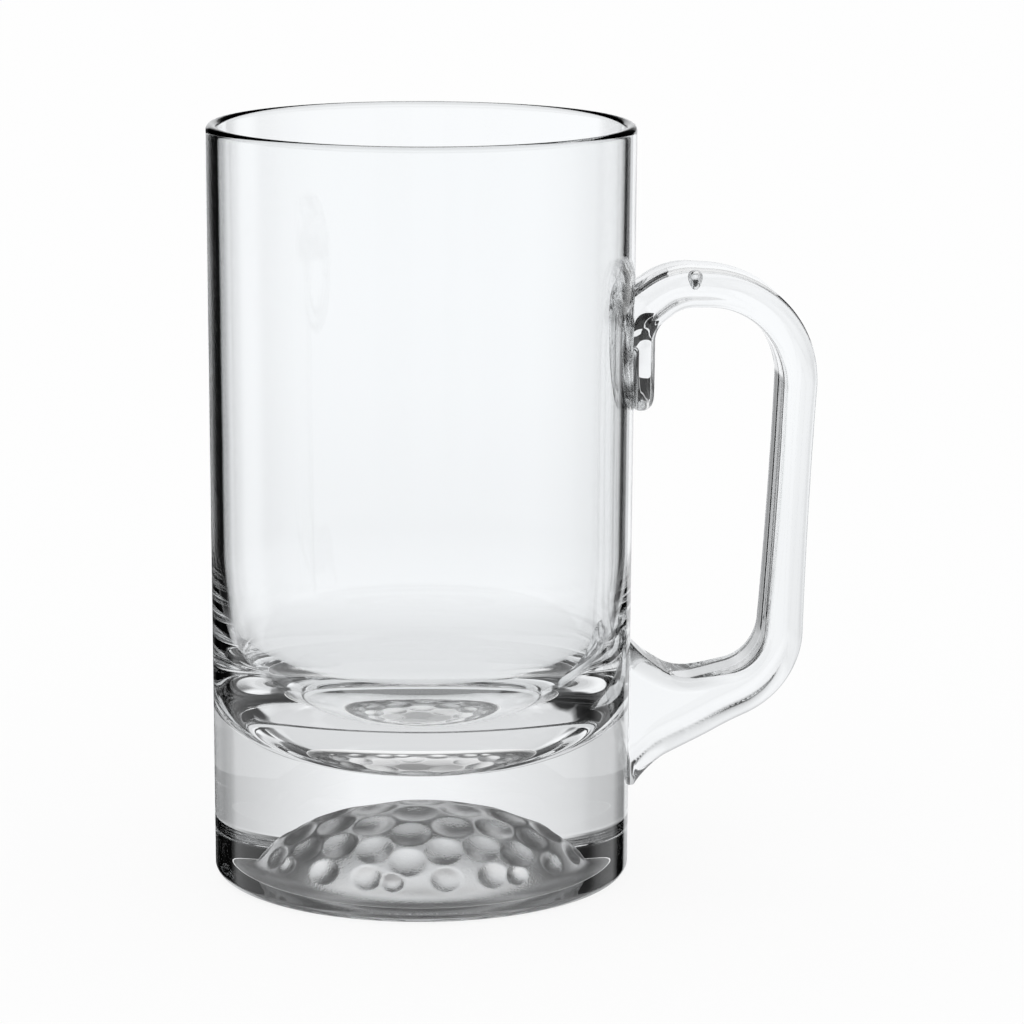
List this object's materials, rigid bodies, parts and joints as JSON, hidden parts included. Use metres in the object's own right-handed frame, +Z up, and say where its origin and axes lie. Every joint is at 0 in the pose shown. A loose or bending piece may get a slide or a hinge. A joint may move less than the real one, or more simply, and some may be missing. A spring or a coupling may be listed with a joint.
{
  "type": "glass beer mug",
  "caption": "Straight clear glass beer mug with a fused side handle, a thick solid base and a frosted, dimpled ball-shaped hollow pressed into its underside.",
  "frame": {"origin": "centre of the foot ring, on the plane that the mug stands on", "axes": "+Z up along the axis of the mug, +X towards the handle"},
  "size_m": [0.1201, 0.0842, 0.15],
  "materials": {
    "body_glass": "clear polished glass, satin frosted inside the dimpled hollow",
    "handle_glass": "clear fire-polished glass"
  },
  "bodies": {
    "root": {"mug_body": "body_glass", "handle": "handle_glass"}
  },
  "joints": []
}
